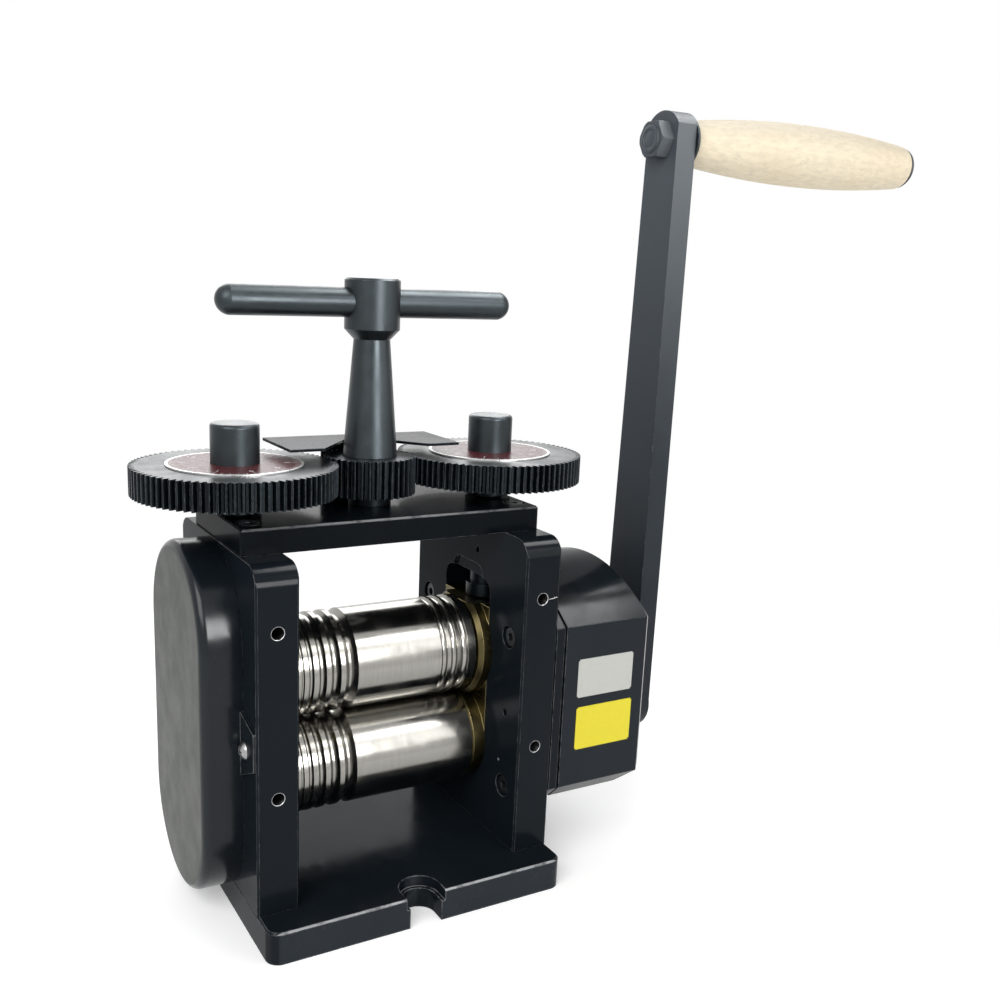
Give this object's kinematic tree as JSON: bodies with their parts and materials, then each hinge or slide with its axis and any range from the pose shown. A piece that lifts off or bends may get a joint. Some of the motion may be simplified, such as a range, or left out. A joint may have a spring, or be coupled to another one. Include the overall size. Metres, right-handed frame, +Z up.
{
  "type": "jewellers rolling mill",
  "caption": "Hand-cranked bench rolling mill: grooved steel rolls in a black frame, geared screw-down with T-handle, side gearbox and a long crank with a wooden grip.",
  "frame": {"origin": "centre of the base plate's underside, on the bench", "axes": "+X along the rolls towards the crank, +Y from the feed side to the back, +Z up"},
  "size_m": [0.4968, 0.16, 0.4238],
  "materials": {
    "enamel": "gloss black enamel, chipped and scuffed in places",
    "crank_paint": "semi-matt slate grey paint",
    "black_oxide": "black-oxide steel, bright on worn edges",
    "polished_steel": "ground and polished hardened steel",
    "bare_steel": "plain turned steel",
    "bearing_bronze": "machined bronze",
    "dial_plate": "maroon face with a silver rim and white marks",
    "handle_wood": "turned pale beech, clear lacquer",
    "spring_steel": "coiled spring wire"
  },
  "bodies": {
    "frame": {"base_plate": "enamel", "base_screws": "black_oxide", "left_cheek": "enamel", "right_cheek": "enamel", "top_plate": "enamel", "top_plate_screws": "black_oxide", "lower_left_bearing": "bearing_bronze", "lower_right_bearing": "bearing_bronze", "lift_springs": "spring_steel", "gear_cover": "enamel", "gear_cover_screws": "polished_steel", "gearbox_flange_plate": "enamel", "gearbox_flange_screws": "black_oxide", "gearbox_housing": "enamel", "gearbox_housing_screws": "black_oxide", "countershaft_bushes": "bearing_bronze", "crank_bush": "bearing_bronze", "pointer_plate": "enamel", "pointer_plate_screws": "polished_steel"},
    "carriage": {"upper_left_bearing": "bearing_bronze", "upper_right_bearing": "bearing_bronze"},
    "upper_roll": {"upper_roll": "polished_steel", "upper_coupling_gear": "black_oxide", "upper_gear_circlip": "bare_steel"},
    "lower_roll": {"lower_roll": "polished_steel", "lower_coupling_gear": "black_oxide", "lower_gear_circlip": "bare_steel", "roll_drive_gear": "black_oxide", "drive_gear_circlip": "bare_steel"},
    "countershaft": {"countershaft": "bare_steel", "countershaft_pinion": "black_oxide", "countershaft_wheel": "black_oxide"},
    "crank": {"crank_shaft": "bare_steel", "crank_arm": "crank_paint", "crank_washer": "black_oxide", "crank_nut": "black_oxide", "handle_bolt": "black_oxide", "handle_collar": "black_oxide", "handle_end_nut": "black_oxide"},
    "handle_grip": {"wooden_handle": "handle_wood"},
    "left_screw": {"left_screw_spindle": "black_oxide", "left_screw_gear": "black_oxide", "left_dial": "dial_plate", "left_cap_nut": "black_oxide"},
    "right_screw": {"right_screw_spindle": "black_oxide", "right_screw_gear": "black_oxide", "right_dial": "dial_plate", "right_cap_nut": "black_oxide"},
    "adjuster": {"pinion_gear": "black_oxide", "adjuster_column": "black_oxide", "cross_bar": "black_oxide", "adjuster_washer": "bare_steel", "adjuster_screw": "black_oxide"}
  },
  "joints": [
    {"name": "crank_spin", "type": "hinge", "parent": "frame", "child": "crank", "pos_m": [0.1814, 0, 0.0662], "axis": [1, 0, 0], "continuous": true},
    {"name": "handle_grip_spin", "type": "hinge", "parent": "crank", "child": "handle_grip", "pos_m": [0.1905, -0.00593, 0.40575], "axis": [1, 0, 0], "continuous": true},
    {"name": "lower_roll_spin", "type": "hinge", "parent": "frame", "child": "lower_roll", "pos_m": [0, 0, 0.0662], "axis": [1, 0, 0], "continuous": true},
    {"name": "countershaft_spin", "type": "hinge", "parent": "frame", "child": "countershaft", "pos_m": [0.11, 0, 0.1037], "axis": [1, 0, 0], "continuous": true},
    {"name": "adjuster_turn", "type": "hinge", "parent": "frame", "child": "adjuster", "pos_m": [0, 0, 0.223], "axis": [0, 0, 1], "range_deg": [-1942.11, 0]},
    {"name": "carriage_lift", "type": "slide", "parent": "frame", "child": "carriage", "axis": [0, 0, 1], "range_m": [0, 0.005], "deforming": ["lift_springs"]},
    {"name": "upper_roll_spin", "type": "hinge", "parent": "carriage", "child": "upper_roll", "pos_m": [0, 0, 0.1217], "axis": [1, 0, 0], "continuous": true},
    {"name": "left_screw_turn", "type": "hinge", "parent": "carriage", "child": "left_screw", "pos_m": [-0.07325, 0, 0.223], "axis": [0, 0, 1], "range_deg": [0, 900.1]},
    {"name": "right_screw_turn", "type": "hinge", "parent": "carriage", "child": "right_screw", "pos_m": [0.07325, 0, 0.223], "axis": [0, 0, 1], "range_deg": [0, 900.1]}
  ],
  "couplings": [
    {"joint": "lower_roll_spin", "follows": "crank_spin", "ratio": 0.4},
    {"joint": "countershaft_spin", "follows": "crank_spin", "ratio": -0.4},
    {"joint": "upper_roll_spin", "follows": "crank_spin", "ratio": -0.4},
    {"joint": "left_screw_turn", "follows": "adjuster_turn", "ratio": -0.46341},
    {"joint": "right_screw_turn", "follows": "adjuster_turn", "ratio": -0.46341},
    {"joint": "carriage_lift", "follows": "adjuster_turn", "m_per_rad": -0.00014751}
  ]
}
